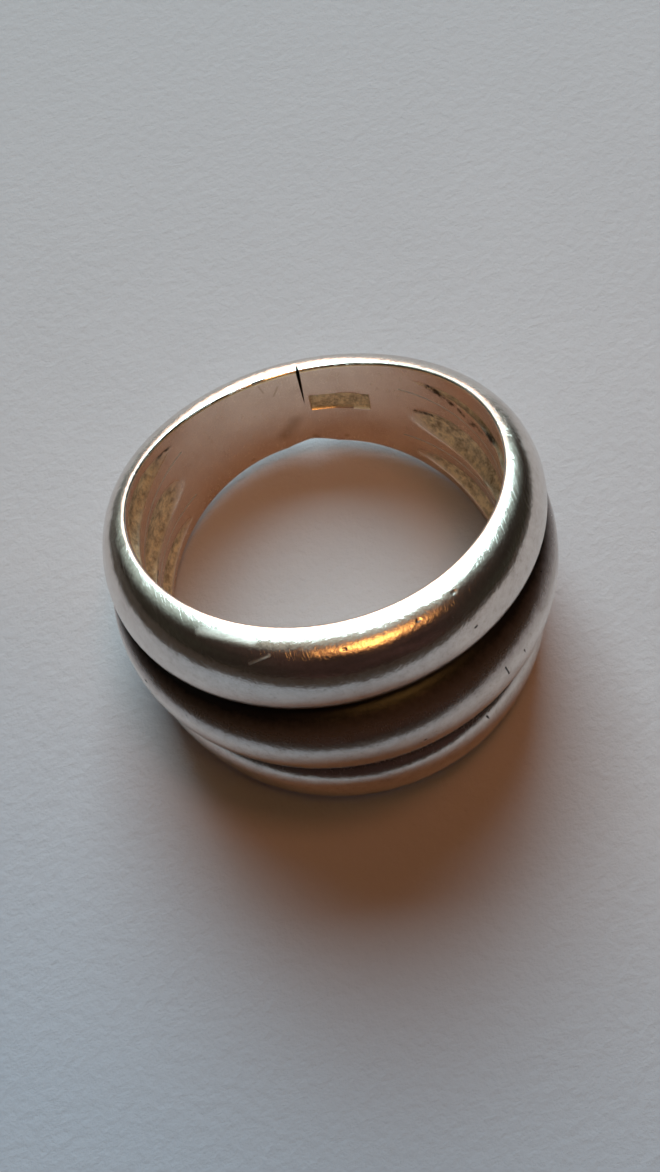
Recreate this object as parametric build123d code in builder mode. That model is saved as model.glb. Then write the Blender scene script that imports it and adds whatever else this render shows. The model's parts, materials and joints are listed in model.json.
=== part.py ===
"""Made-up silver finger ring: three hollow-backed ribs soldered side by side and closed by a plain shank.

The finger bore runs along Z with its centre at the origin. The ribs face -Y and the shank closes the ring
at +Y. Angles around the ring are in degrees from the middle of the ribs, positive towards +X. Sizes that
are given for the front, sides and back run smoothly round the ring between them.
"""

import os
from math import cos, degrees, radians, sin, sqrt

from build123d import *

# Finger bore
bore_diameter = 18.0

# Middle rib: full width, and how far its crest stands out from the bore wall
middle_width_front = 5.20
middle_width_side = 3.74
middle_width_back = 3.72
middle_rise_front = 3.14
middle_rise_side = 2.12
middle_rise_back = 1.30

# Fullness of the ribs' rounds: 0.55 is elliptical and 1 is square
middle_fullness = 0.61
outer_fullness = 0.70
shoulder_fullness = 0.17

# Outer ribs: how far they bulge beyond the line from groove to rim, and lean towards the rim
bulge_front = 2.15
bulge_side = 1.15
bulge_back = 0.80
lean_front = 0.15
lean_side = 0.10
lean_back = 0.0

# Outer ribs at the shoulders, where they level out to the shank's outline
shoulder_bulge = 0.40
shoulder_lean = 0.46

# Crests beside the middle rib: how far they stand out from the bore wall, on the ribs and on the shank
outer_rise_front = 2.28
outer_rise_side = 1.55
outer_rise_back = 1.20

# Rim: height of its crown above the ring's middle plane
rim_height_front = 7.18
rim_height_side = 5.63
rim_height_back = 2.99

# Rim: how far its crown stands out from the bore wall (negative lies inside it)
crown_rise_front = 0.68
crown_rise_side = 0.19
crown_rise_back = -0.30

# Grooves between the ribs, and where the ribs start to level out into the shank's plain band
groove_depth = 1.80
level_angle = 84.0

# Hollows behind the ribs: they would run out flush at their reach, and stop just short of it
crest_wall = 0.80
flank_wall = 0.35
hollow_reach = 137.0
hollow_end = 136.0
hollow_sink = 0.40

# Joints
shoulder_angle = 140.0
seam_angle = 173.0
rib_joint_gap = 0.12
shoulder_joint_gap = 0.12
seam_gap = 0.14
crack_length = 2.50
upper_joint_wander = 0.42

# Stamped recess beside the seam, left bare
stamp_angle = 161.0
stamp_length = 3.20
stamp_width = 1.10
stamp_height = 0.36
stamp_depth = 0.12

# Loft stations
rib_stations = 15
arm_stations = 4

# Arc of the shank's ellipse from its crest over the rim and into the bore
crown_arc = 130

bore_radius = bore_diameter / 2
stock_radius = bore_radius - 2 * outer_rise_back


def spread(start, stop, count):
    """Evenly spaced angles from start to stop."""
    return [start + (stop - start) * step / (count - 1) for step in range(count)]


def turn_over(length):
    """The angle that an arc of this length takes on the bore wall."""
    return degrees(length / bore_radius)


def around(angle, front, side, back):
    """A size that runs smoothly round the ring from its front value through its side to its back value."""
    ends = (front + back) / 2
    first = (front - back) / 2 * cos(radians(angle))
    second = (ends - side) / 2 * cos(radians(2 * angle))
    return (ends + side) / 2 + first + second


def outer_radius(angle):
    """Radius of the crests beside the middle rib."""
    return bore_radius + around(angle, outer_rise_front, outer_rise_side, outer_rise_back)


def middle_radius(angle):
    """Crest radius of the middle rib."""
    return bore_radius + around(angle, middle_rise_front, middle_rise_side, middle_rise_back)


def crown_radius(angle):
    """Radius of the rim's crown."""
    return bore_radius + around(angle, crown_rise_front, crown_rise_side, crown_rise_back)


def rim_height(angle):
    """Height of the rim's crown above the ring's middle plane."""
    return around(angle, rim_height_front, rim_height_side, rim_height_back)


def half_middle(angle):
    """Half the middle rib's width."""
    return around(angle, middle_width_front, middle_width_side, middle_width_back) / 2


def flank_height(angle, side):
    """How far the middle rib's upper (side 1) or lower (side -1) flank lies from the ring's middle plane."""
    wander = upper_joint_wander * sin(radians(180 * angle / shoulder_angle)) if side > 0 else 0
    return half_middle(angle) + wander


def crest_height(angle):
    """Height of an outer rib's crest, midway between its flank and the rim's crown."""
    return (half_middle(angle) + rib_joint_gap + rim_height(angle)) / 2


def half_height(angle):
    """Half the width of an outer rib."""
    return rim_height(angle) - crest_height(angle)


def edge_height(angle):
    """Height at which the rim's crown meets the bore."""
    crown = crown_radius(angle)
    inward = (bore_radius - crown) / (outer_radius(angle) - crown)
    return crest_height(angle) + half_height(angle) * sqrt(1 - inward**2)


def levelled(angle):
    """How far the ribs have levelled out: 0 up to the level angle, 1 at the shoulders."""
    share = max(0, (abs(angle) - level_angle) / (shoulder_angle - level_angle))
    return share**2 * (3 - 2 * share)


def band_radius(angle, height):
    """Radius of the plain band at a height up to the crest."""
    outer = outer_radius(angle)
    return outer + (middle_radius(angle) - outer) * (1 - (height / crest_height(angle)) ** 2)


def groove_radius(angle, height):
    """Radius of the groove's floor, which rises into the plain band towards the shoulders."""
    depth = groove_depth * cos(radians(90 * angle / shoulder_angle)) ** 2
    share = levelled(angle)
    return (outer_radius(angle) - depth) * (1 - share) + band_radius(angle, height) * share


def station(angle):
    """The half plane across the ring at this angle: its X is the radius and its Y is the ring's Z."""
    turn = radians(angle)
    return Plane(origin=(0, 0, 0), x_dir=(sin(turn), -cos(turn), 0), z_dir=(-cos(turn), -sin(turn), 0))


def arch(start, stop, rise, fullness):
    """Control points of two Bezier curves from start to stop that stand out by rise half way."""
    half = (stop - start) / 2
    crest = start + half + rise
    foot = rise * fullness
    reach = half * fullness
    return [start, start + foot, crest - reach, crest, crest + reach, stop + foot, stop]


def low_dome(start, stop, rise):
    """Control points of two Bezier curves from start to stop over a shallow parabola."""
    third = (stop - start) / 6
    crest = (start + stop) / 2 + rise
    foot = rise * 2 / 3
    return [start, start + third + foot, crest - third, crest, crest + third, stop - third + foot, stop]


def mixed(one, other, share):
    """Control points that pass from one list to the other as the share goes from 0 to 1."""
    return [near * (1 - share) + far * share for near, far in zip(one, other)]


def outer_rib_section(angle, side):
    """Flat flank and an arch from groove to rim, above (side 1) or below (side -1) the middle rib."""
    flank = (flank_height(angle, side) + rib_joint_gap) * side
    foot = Vector(groove_radius(angle, flank), flank)
    rim = Vector(bore_radius, edge_height(angle) * side)
    bulge = around(angle, bulge_front, bulge_side, bulge_back)
    lean = around(angle, lean_front, lean_side, lean_back) * side
    full = arch(foot, rim, Vector(bulge, lean), outer_fullness)
    plain = arch(foot, rim, Vector(shoulder_bulge, shoulder_lean * side), shoulder_fullness)
    outline = mixed(full, plain, levelled(angle))
    with BuildSketch(station(angle)) as section:
        with BuildLine():
            Line((stock_radius, flank), foot)
            Bezier(*outline[:4])
            Bezier(*outline[3:])
            Polyline(rim, (stock_radius, rim.Y), (stock_radius, flank))
        make_face()
    return section.sketch


def middle_rib_section(angle):
    """Two flat flanks joined by a full round."""
    lower = -flank_height(angle, -1)
    upper = flank_height(angle, 1)
    start = Vector(groove_radius(angle, lower), lower)
    stop = Vector(groove_radius(angle, upper), upper)
    rise = Vector(middle_radius(angle) - (start.X + stop.X) / 2, 0)
    outline = mixed(arch(start, stop, rise, middle_fullness), low_dome(start, stop, rise), levelled(angle))
    with BuildSketch(station(angle)) as section:
        with BuildLine():
            Line((stock_radius, lower), start)
            Bezier(*outline[:4])
            Bezier(*outline[3:])
            Polyline(stop, (stock_radius, upper), (stock_radius, lower))
        make_face()
    return section.sketch


def shank_section(angle):
    """Gently domed band with a rounded crown on each rim."""
    crest = crest_height(angle)
    crown = crown_radius(angle)
    rise = outer_radius(angle) - crown
    half = half_height(angle)
    with BuildSketch(station(angle)) as section:
        with BuildLine():
            upper = EllipticalCenterArc((crown, crest), rise, half, 0, arc_size=crown_arc)
            lower = EllipticalCenterArc((crown, -crest), rise, half, 360 - crown_arc, arc_size=crown_arc)
            ThreePointArc(lower @ 1, (middle_radius(angle), 0), upper @ 0)
            Polyline(upper @ 1, (stock_radius, 0), lower @ 0)
        make_face()
    return section.sketch


def joint_section(angle, side):
    """Thin strip between two flanks, from inside the bore out to the groove's floor."""
    middle = (flank_height(angle, side) + rib_joint_gap / 2) * side
    reach = groove_radius(angle, middle) - stock_radius
    with BuildSketch(station(angle)) as section:
        with Locations((stock_radius, middle)):
            Rectangle(reach, rib_joint_gap, align=(Align.MIN, Align.CENTER))
    return section.sketch


def hollow_section(angle, height, half_width, depth):
    """Ellipse that reaches to this depth behind the bore wall and sinks inside it at the hollow's ends."""
    limit = cos(radians(hollow_reach))
    reach = (cos(radians(angle)) - limit) / (1 - limit)
    with BuildSketch(station(angle)) as section:
        with Locations((bore_radius - hollow_sink, height)):
            Ellipse(hollow_sink + depth * reach, half_width)
    return section.sketch


def outer_hollow_section(angle, side):
    """Hollow behind an outer rib, narrowing with the rib."""
    depth = outer_rise_front - crest_wall
    return hollow_section(angle, crest_height(angle) * side, half_height(angle) - flank_wall, depth)


def middle_hollow_section(angle):
    """Hollow behind the middle rib."""
    return hollow_section(angle, 0, half_middle(angle) - flank_wall, middle_rise_front - crest_wall)


rib_end = shoulder_angle - turn_over(shoulder_joint_gap) / 2
rib_angles = spread(-rib_end, rib_end, rib_stations)
hollow_angles = spread(-hollow_end, hollow_end, rib_stations)
arm_start = shoulder_angle + turn_over(shoulder_joint_gap) / 2
seam_start = seam_angle - turn_over(seam_gap) / 2
seam_stop = seam_angle + turn_over(seam_gap) / 2
bore_height = 2 * rim_height_front + bore_diameter

# Outer ribs
with BuildPart() as top_rib:
    loft([outer_rib_section(angle, 1) for angle in rib_angles])
    loft([outer_hollow_section(angle, 1) for angle in hollow_angles], mode=Mode.SUBTRACT)
    Cylinder(bore_radius, bore_height, mode=Mode.SUBTRACT)

with BuildPart() as bottom_rib:
    loft([outer_rib_section(angle, -1) for angle in rib_angles])
    loft([outer_hollow_section(angle, -1) for angle in hollow_angles], mode=Mode.SUBTRACT)
    Cylinder(bore_radius, bore_height, mode=Mode.SUBTRACT)

# Middle rib
with BuildPart() as middle_rib:
    loft([middle_rib_section(angle) for angle in rib_angles])
    loft([middle_hollow_section(angle) for angle in hollow_angles], mode=Mode.SUBTRACT)
    Cylinder(bore_radius, bore_height, mode=Mode.SUBTRACT)

# Solder between the ribs
with BuildPart() as upper_rib_solder:
    loft([joint_section(angle, 1) for angle in rib_angles])
    Cylinder(bore_radius, bore_height, mode=Mode.SUBTRACT)

with BuildPart() as lower_rib_solder:
    loft([joint_section(angle, -1) for angle in rib_angles])
    Cylinder(bore_radius, bore_height, mode=Mode.SUBTRACT)

# Shank arms, meeting at the seam
with BuildPart() as right_arm:
    loft([shank_section(angle) for angle in spread(arm_start, seam_start, arm_stations)])
    Cylinder(bore_radius, bore_height, mode=Mode.SUBTRACT)
    with BuildSketch(Plane.XY.offset(stamp_height - stamp_width / 2)):
        with BuildLine():
            start = stamp_angle - 90 - turn_over(stamp_length) / 2
            floor = CenterArc((0, 0), bore_radius + stamp_depth, start, turn_over(stamp_length))
            Polyline(floor @ 1, (0, 0), floor @ 0)
        make_face()
    extrude(amount=stamp_width, mode=Mode.SUBTRACT)

with BuildPart() as left_arm:
    loft([shank_section(angle) for angle in spread(seam_stop, 360 - arm_start, arm_stations)])
    Cylinder(bore_radius, bore_height, mode=Mode.SUBTRACT)

# Solder in the shoulder joints
with BuildPart() as right_shoulder_solder:
    loft([shank_section(angle) for angle in (rib_end, arm_start)])
    Cylinder(bore_radius, bore_height, mode=Mode.SUBTRACT)

with BuildPart() as left_shoulder_solder:
    mirror(right_shoulder_solder.part, about=Plane.YZ)

# Solder in the seam, which has cracked open above it
with BuildPart() as seam_solder:
    loft([shank_section(angle) for angle in (seam_start, seam_stop)])
    Cylinder(bore_radius, bore_height, mode=Mode.SUBTRACT)
    split(bisect_by=Plane.XY.offset(rim_height(seam_angle) - crack_length), keep=Keep.BOTTOM)

os.makedirs("parts", exist_ok=True)
pieces = {
    "top_rib": top_rib,
    "middle_rib": middle_rib,
    "bottom_rib": bottom_rib,
    "upper_rib_solder": upper_rib_solder,
    "lower_rib_solder": lower_rib_solder,
    "left_arm": left_arm,
    "right_arm": right_arm,
    "left_shoulder_solder": left_shoulder_solder,
    "right_shoulder_solder": right_shoulder_solder,
    "seam_solder": seam_solder,
}
for name, piece in pieces.items():
    piece.part.label = name
    export_step(piece.part, f"parts/{name}.step")
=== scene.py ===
"""Looks of a worn silver finger ring with three domed, hollow-backed ribs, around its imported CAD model.

The finger bore runs along Z with its centre at the origin, the ribs face -Y and the shank closes at +Y.
A turn is the angle round the ring from the middle of the ribs, positive towards +X.
"""

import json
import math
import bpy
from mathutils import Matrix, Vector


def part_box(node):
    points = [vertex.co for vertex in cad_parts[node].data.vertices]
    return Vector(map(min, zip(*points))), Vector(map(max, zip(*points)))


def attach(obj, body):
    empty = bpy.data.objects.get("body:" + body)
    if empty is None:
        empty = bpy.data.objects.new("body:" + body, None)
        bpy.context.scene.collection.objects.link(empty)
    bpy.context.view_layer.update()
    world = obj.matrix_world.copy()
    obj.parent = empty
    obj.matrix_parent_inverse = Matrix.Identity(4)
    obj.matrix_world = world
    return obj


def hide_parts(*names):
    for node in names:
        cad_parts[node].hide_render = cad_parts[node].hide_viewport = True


bl_info = {
    "name": "Ribbed silver ring",
    "version": (1, 0, 0),
    "blender": (4, 5, 0),
    "location": "3D View > Sidebar > Ring",
    "description": "Builds the ribs, shank and solder of a worn silver ring and the paper it lies on",
    "category": "Object",
}

from math import radians
from types import SimpleNamespace
from typing import NamedTuple

import bmesh
import bpy
from bpy.props import FloatProperty, FloatVectorProperty, PointerProperty
from mathutils import Matrix, Vector

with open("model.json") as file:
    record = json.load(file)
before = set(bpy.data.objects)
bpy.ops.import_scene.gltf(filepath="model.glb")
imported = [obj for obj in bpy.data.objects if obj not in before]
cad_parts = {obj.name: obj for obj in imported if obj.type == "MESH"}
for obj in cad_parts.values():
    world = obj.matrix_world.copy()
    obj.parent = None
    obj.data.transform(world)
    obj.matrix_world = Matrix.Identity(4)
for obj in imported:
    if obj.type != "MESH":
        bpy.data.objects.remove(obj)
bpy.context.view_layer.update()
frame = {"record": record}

MM = 0.001
BORE_RADIUS = frame["record"]["mounts"][0]["dims"]["r_mm"] * MM
MIDDLE_FRONT = -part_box("middle_rib")[0][1] - BORE_RADIUS
MIDDLE_HALF = -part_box("middle_rib")[0][2]

# Grid steps of each piece, round the ring and around its section.
RIB_STEPS = (480, 161)
RIB_SOLDER_STEPS = (360, 17)
RIGHT_ARM_STEPS = (220, 241)
LEFT_ARM_STEPS = (320, 241)
SHOULDER_SOLDER_STEPS = (3, 241)
SEAM_SOLDER_STEPS = (3, 121)

# Points nearer to each other than this are welded, and corners sharper than this stay crisp.
WELD = 0.001 * MM
CRISP_CORNER = radians(50)

# Shares of the way along a section's outer line.
RIB_FLANK = 0.1
RIB_DIRT_AND_SHADE_END = 0.4
RIB_CREST = 0.5
SHANK_CROWN = 0.25
SOLDER_WALL = 0.25

# How steeply the dirt and painted shade under the top rib's overhang thin out over the middle rib, and how
# the crack widens upwards, 1 for a plain wedge.
MIDDLE_DIRT_AND_SHADE = 1.1
CRACK_CURVE = 0.6

# Heights of the bumps in the finishes, and the depth at which a hollow's skin is fully rough.
ROUGH_SKIN = 0.14 * MM
NICK_DEPTH = 0.015 * MM
LUMP_HEIGHT = 0.15 * MM
GRAIN_HEIGHT = 0.003 * MM
PAPER_TOOTH = 0.08 * MM

# Where the paper's painted shade in front and far behind starts and is full along Y, the front one slanting
# to the right.
FRONT_SHADE = (-6 * MM, -36 * MM)
FRONT_SHADE_SLANT = 0.8
BACK_SHADE = (8 * MM, 45 * MM)

TABLE_REACH = 0.6
TABLE_DROP = 0.3 * MM
CAMERA_CLIP = 5 * MM

# Tones of the room that the silver mirrors.
ROOM_ENDS = (0.055, 0.029, 0.025)
ROOM_SIDES = (0.034, 0.033, 0.024)
ROOM_PATCHES = (0.016, 0.011, 0.009)
WINDOW_GLOW = (0.66, 0.84, 0.78)
CEILING = (0.46, 0.41, 0.33)
LAMP_HALO = (1.1, 0.45, 0.17)
LAMP_GLINT = (5.0, 2.7, 0.7)


class Lamp(NamedTuple):
    """A soft rectangular lamp: its direction in degrees, its distance and size in metres, and its light."""

    azimuth: float
    elevation: float
    distance: float
    width: float
    height: float
    radiance: float
    colour: tuple
    mirrored: bool = True


LAMPS = {
    "window": Lamp(171.3, 55.0, 0.55, 0.34, 0.36, 10.0, (0.65, 0.92, 0.99)),
    "overhead": Lamp(62.9, 75.7, 0.50, 0.10, 0.10, 10.8, (1.0, 0.41, 0.19), mirrored=False),
    "low_window": Lamp(174.7, 22.3, 0.55, 0.28, 0.14, 2.6, (1.0, 0.70, 0.60)),
}


def length(label, description, default):
    """A size in metres that a user can change."""
    return FloatProperty(name=label, description=description, default=default, precision=6, unit="LENGTH")


def angle(label, description, default):
    """An angle that a user can change, given in degrees here."""
    return FloatProperty(name=label, description=description, default=radians(default), subtype="ANGLE")


def tint(label, description, default):
    """A colour that a user can change."""
    limits = {"subtype": "COLOR", "min": 0, "max": 1}
    return FloatVectorProperty(name=label, description=description, default=default, **limits)


def amount(label, description, default):
    """A plain number that a user can change."""
    return FloatProperty(name=label, description=description, default=default)


class RingSizes(bpy.types.PropertyGroup):
    """Sizes of the ring, all of them inputs of its geometry trees."""

    bore: length("Bore radius", "Radius of the finger bore", BORE_RADIUS)
    half_front: length("Middle half front", "Half the middle rib's width at the front", MIDDLE_HALF)
    half_side: length("Middle half side", "Half the middle rib's width at the sides", 1.87 * MM)
    half_back: length("Middle half back", "Half the middle rib's width towards the back", 1.86 * MM)
    joint: length("Joint", "Thickness of the solder between two ribs", 0.12 * MM)
    wander: length("Wander", "How far the upper joint rises on the right and sinks on the left", 0.42 * MM)
    middle_front: length("Middle rise front", "Middle crest above the bore at the front", MIDDLE_FRONT)
    middle_side: length("Middle rise side", "Middle crest above the bore at the sides", 2.12 * MM)
    middle_back: length("Middle rise back", "Middle crest above the bore at the back", 1.30 * MM)
    outer_front: length("Outer rise front", "Outer crest above the bore at the front", 2.28 * MM)
    outer_side: length("Outer rise side", "Outer crest above the bore at the sides", 1.55 * MM)
    outer_back: length("Outer rise back", "Outer crest above the bore at the back", 1.20 * MM)
    rim_front: length("Rim height front", "Rim's crown above the middle plane at the front", 7.18 * MM)
    rim_side: length("Rim height side", "Rim's crown above the middle plane at the sides", 5.63 * MM)
    rim_back: length("Rim height back", "Rim's crown above the middle plane at the back", 2.99 * MM)
    crown_front: length("Crown rise front", "Rim's crown outside the bore at the front", 0.68 * MM)
    crown_side: length("Crown rise side", "Rim's crown outside the bore at the sides", 0.19 * MM)
    crown_back: length("Crown rise back", "Rim's crown outside the bore at the back", -0.30 * MM)
    bulge_front: length("Bulge front", "Outer rib's bulge beyond its chord at the front", 2.15 * MM)
    bulge_side: length("Bulge side", "Outer rib's bulge beyond its chord at the sides", 1.15 * MM)
    bulge_back: length("Bulge back", "Outer rib's bulge beyond its chord towards the back", 0.80 * MM)
    lean_front: length("Lean front", "How far an outer rib's bulge leans to the rim at the front", 0.15 * MM)
    lean_side: length("Lean side", "How far an outer rib's bulge leans to the rim at the sides", 0.10 * MM)
    lean_back: length("Lean back", "How far an outer rib's bulge leans to the rim towards the back", 0.0)
    middle_fullness: amount("Middle fullness", "Squareness of the middle rib, 0.55 for an ellipse", 0.61)
    outer_fullness: amount("Outer fullness", "Squareness of the outer ribs, 0.55 for an ellipse", 0.70)
    worn_edge: length("Worn edge", "Size of the worn rounding at the rim of the bore", 0.22 * MM)
    groove: length("Groove depth", "Depth of the grooves between the ribs at the front", 1.80 * MM)
    shoulder: angle("Shoulder turn", "Where the ribs meet the shank", 140)
    level: angle("Level turn", "Where the grooves start to level out", 84)
    crest_wall: length("Crest wall", "Wall between a rib's crest and its hollow", 0.80 * MM)
    flank_wall: length("Flank wall", "Wall between a rib's side and its hollow", 0.35 * MM)
    reach: angle("Hollow reach", "Turn at which the hollows run out", 137)
    sink: length("Hollow sink", "How far a hollow's centre lies inside the bore", 0.40 * MM)
    shut_start: angle("Shut start", "Where the top rib's hollow starts to close on the right", 72)
    shut_end: angle("Shut end", "Where that hollow is nearly shut", 92)
    shut_width: amount("Shut width", "Share of its width that the nearly shut hollow loses", 0.7)
    shut_depth: amount("Shut depth", "Share of its depth that the nearly shut hollow loses", 0.5)
    seam: angle("Seam turn", "Where the two arms of the shank meet", 173)
    crack: length("Crack length", "How far the seam is open below the rim", 2.50 * MM)
    crack_mouth: length("Crack mouth", "Width of the open seam at the rim", 0.24 * MM)
    crack_shut: length("Crack shut", "How far outside the bore the crack is shut", 0.5 * MM)
    crack_open: length("Crack open", "How far inside the bore the crack is at its widest", 0.1 * MM)
    seam_lift: length("Seam lift", "How far the lower edge is pinched up at the seam", 0.35 * MM)
    seam_reach: angle("Seam reach", "How far from the seam the lower edge starts to rise", 9)
    seam_film: length("Seam film", "Thickness of the solder in the closed seam", 0.05 * MM)
    shoulder_film: length("Shoulder film", "Thickness of the solder at the shoulders", 0.12 * MM)
    stamp_turn: angle("Stamp turn", "Middle of the bare stamped recess", 161)
    stamp_height: length("Stamp height", "Middle of the recess above the middle plane", 0.36 * MM)
    stamp_length: length("Stamp length", "Length of the recess along the bore", 3.2 * MM)
    stamp_width: length("Stamp width", "Width of the recess", 1.1 * MM)
    stamp_depth: length("Stamp depth", "Depth of the recess", 0.12 * MM)
    stamp_slope: length("Stamp slope", "Half the width of the slope at the recess's edge", 0.03 * MM)


class RingFinish(bpy.types.PropertyGroup):
    """Colours and roughness of the silver and the solder."""

    silver: tint("Silver", "Colour of the polished silver", (0.83, 0.755, 0.69))
    tarnished: tint("Tarnished", "Colour of the silver where it is duller", (0.57, 0.505, 0.455))
    # The satin's warm pinkish tint is partly a painted reflection of the brown shaded paper inside the bore.
    satin_and_reflection: tint("Satin", "Colour of the satin silver inside the bore", (0.91, 0.75, 0.63))
    stained: tint("Stained", "Colour of the stains inside the bore", (0.75, 0.59, 0.48))
    skin: tint("Skin", "Colour of the rough skin in the hollows", (0.95, 0.76, 0.52))
    pits: tint("Pits", "Colour of the pits in that skin", (0.36, 0.25, 0.16))
    # The reddish brown beside the grooves is patina and painted shade under the ribs' overhang.
    patina_and_shade: tint("Patina", "Colour of the reddish brown film beside the dirt", (0.20, 0.15, 0.165))
    # Near black: real dirt and dark spots, and painted shade in the grooves and the open seam.
    soot_and_shade: tint("Soot", "Colour of the dirt in grooves and in the open seam", (0.012, 0.009, 0.0088))
    solder: tint("Solder", "Colour of the solder", (0.42, 0.38, 0.32))
    polish: amount("Polish", "Roughness of the polished silver", 0.15)
    dents: length("Dents", "Depth of the shallow dents of wear", 0.05 * MM)


class RingStage(bpy.types.PropertyGroup):
    """The paper, the table and the camera."""

    paper: tint("Paper", "Colour of the paper", (0.51, 0.457, 0.476))
    # Painted shade on the paper: darker and cooler towards its front edge, darker far behind the ring.
    paper_front_shade: tint("Paper front", "Colour of the paper towards its front edge", (0.385, 0.405, 0.475))
    paper_back_shade: tint("Paper back", "Colour of the paper far behind the ring", (0.43, 0.395, 0.413))
    sheet_front: length("Sheet front", "How far the sheet reaches in front of the ring's middle", 34 * MM)
    sheet_left: length("Sheet left", "How far the sheet reaches to the left of the ring's middle", 30 * MM)
    sheet_right: length("Sheet right", "How far the sheet reaches to the right of that middle", 60 * MM)
    sheet_turn: angle("Sheet turn", "Turn of the sheet under the ring, clockwise from above", 10.7)
    table: tint("Table", "Colour of the table under the sheet", (0.045, 0.028, 0.02))
    tilt: angle("Paper tilt", "Slope of the paper in the ring's frame, rising towards the back", 11.3)
    rest_front: length("Rest in front", "How far in front of the bore's middle the ring rests", 1.87 * MM)
    rest_below: length("Rest below", "How far below the middle plane the ring rests", 6.03 * MM)
    azimuth: angle("Camera azimuth", "Camera's turn round the ring", -3.55)
    elevation: angle("Camera elevation", "Camera's height above the middle plane", 54.51)
    distance: length("Camera distance", "From the bore's centre to the camera", 8.103 * BORE_RADIUS)
    roll: angle("Camera roll", "Turn of the camera about its own axis", -13.39)
    aim_side: angle("Aim to the side", "How far the ring's centre lies left of the camera's axis", 0.1)
    aim_up: angle("Aim below", "How far the ring's centre lies above the camera's axis", 1.676)
    lens: amount("Lens", "Focal length in millimetres on a 36 mm frame", 44.57)


class Field:
    """A node's output that takes part in sums."""

    def __init__(self, nodes, socket):
        self.nodes = nodes
        self.socket = socket

    def __add__(self, other):
        return self.nodes.math("ADD", self, other)

    def __radd__(self, other):
        return self.nodes.math("ADD", other, self)

    def __sub__(self, other):
        return self.nodes.math("SUBTRACT", self, other)

    def __rsub__(self, other):
        return self.nodes.math("SUBTRACT", other, self)

    def __mul__(self, other):
        return self.nodes.math("MULTIPLY", self, other)

    def __rmul__(self, other):
        return self.nodes.math("MULTIPLY", other, self)

    def __truediv__(self, other):
        return self.nodes.math("DIVIDE", self, other)

    def __pow__(self, other):
        return self.nodes.math("POWER", self, other)

    def __neg__(self):
        return self.nodes.math("MULTIPLY", self, -1)

    def __abs__(self):
        return self.nodes.math("ABSOLUTE", self)

    def __gt__(self, other):
        return self.nodes.math("GREATER_THAN", self, other)

    def __lt__(self, other):
        return self.nodes.math("LESS_THAN", self, other)


class Nodes:
    """Fills a node tree, in a material, in the world or in Geometry Nodes."""

    def __init__(self, tree):
        self.tree = tree

    def make(self, kind, settings=None, inputs=None):
        """A node of this kind, with its settings set first and then its sockets' values or links."""
        node = self.tree.nodes.new(kind)
        for name, value in (settings or {}).items():
            setattr(node, name, value)
        for key, value in (inputs or {}).items():
            if isinstance(value, Field):
                self.tree.links.new(value.socket, node.inputs[key])
            else:
                node.inputs[key].default_value = value
        return node

    def field(self, kind, settings=None, inputs=None, output=0):
        """One output of such a node."""
        return Field(self, self.make(kind, settings, inputs).outputs[output])

    def parts(self, vector):
        """The three numbers of a vector."""
        outputs = self.make("ShaderNodeSeparateXYZ", None, {0: vector}).outputs
        return [Field(self, output) for output in outputs]

    def math(self, operation, *values):
        """The result of one sum."""
        return self.field("ShaderNodeMath", {"operation": operation}, dict(enumerate(values)))

    def math_vector(self, operation, one, other):
        """The number that a vector operation gives."""
        settings = {"operation": operation}
        return self.field("ShaderNodeVectorMath", settings, {0: one, 1: other}, output="Value")

    def sine(self, value):
        return self.math("SINE", value)

    def cosine(self, value):
        return self.math("COSINE", value)

    def root(self, value):
        return self.math("SQRT", self.math("MAXIMUM", value, 0.0))

    def larger(self, one, other):
        return self.math("MAXIMUM", one, other)

    def smaller(self, one, other):
        return self.math("MINIMUM", one, other)

    def ramp(self, value, low, high, smooth=False):
        """0 where value is at low or before it, 1 at high or after it."""
        kind = "SMOOTHSTEP" if smooth else "LINEAR"
        inputs = {"Value": value, "From Min": low, "From Max": high}
        return self.field("ShaderNodeMapRange", {"interpolation_type": kind}, inputs)

    def blend(self, factor, one, other):
        """one where factor is 0, other where it is 1."""
        return one + (other - one) * factor

    def vector(self, x, y, z):
        return self.field("ShaderNodeCombineXYZ", None, {"X": x, "Y": y, "Z": z})

    def noise(self, vector, scale, detail=2.0, roughness=0.5):
        """Noise about 0, from about -0.5 to 0.5."""
        inputs = {"Vector": vector, "Scale": scale, "Detail": detail, "Roughness": roughness}
        return self.field("ShaderNodeTexNoise", None, inputs) - 0.5

    def colours(self, factor, one, other):
        """one where factor is 0, other where it is 1, as colours."""
        inputs = {0: factor, 6: as_colour(one), 7: as_colour(other)}
        return self.field("ShaderNodeMix", {"data_type": "RGBA"}, inputs, output=2)


def as_colour(value):
    """A colour with its alpha, or the link it already is."""
    return value if isinstance(value, Field) else (*value[:3], 1.0)


def around(size, waves, name):
    """A size that is given at the front, sides and back of the ring and flows between them."""
    front, side, back = (getattr(size, f"{name}_{place}") for place in ("front", "side", "back"))
    first, second = waves
    ends = (front + back) * 0.5
    return (ends + side) * 0.5 + (front - back) * 0.5 * first + (ends - side) * 0.5 * second


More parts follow.
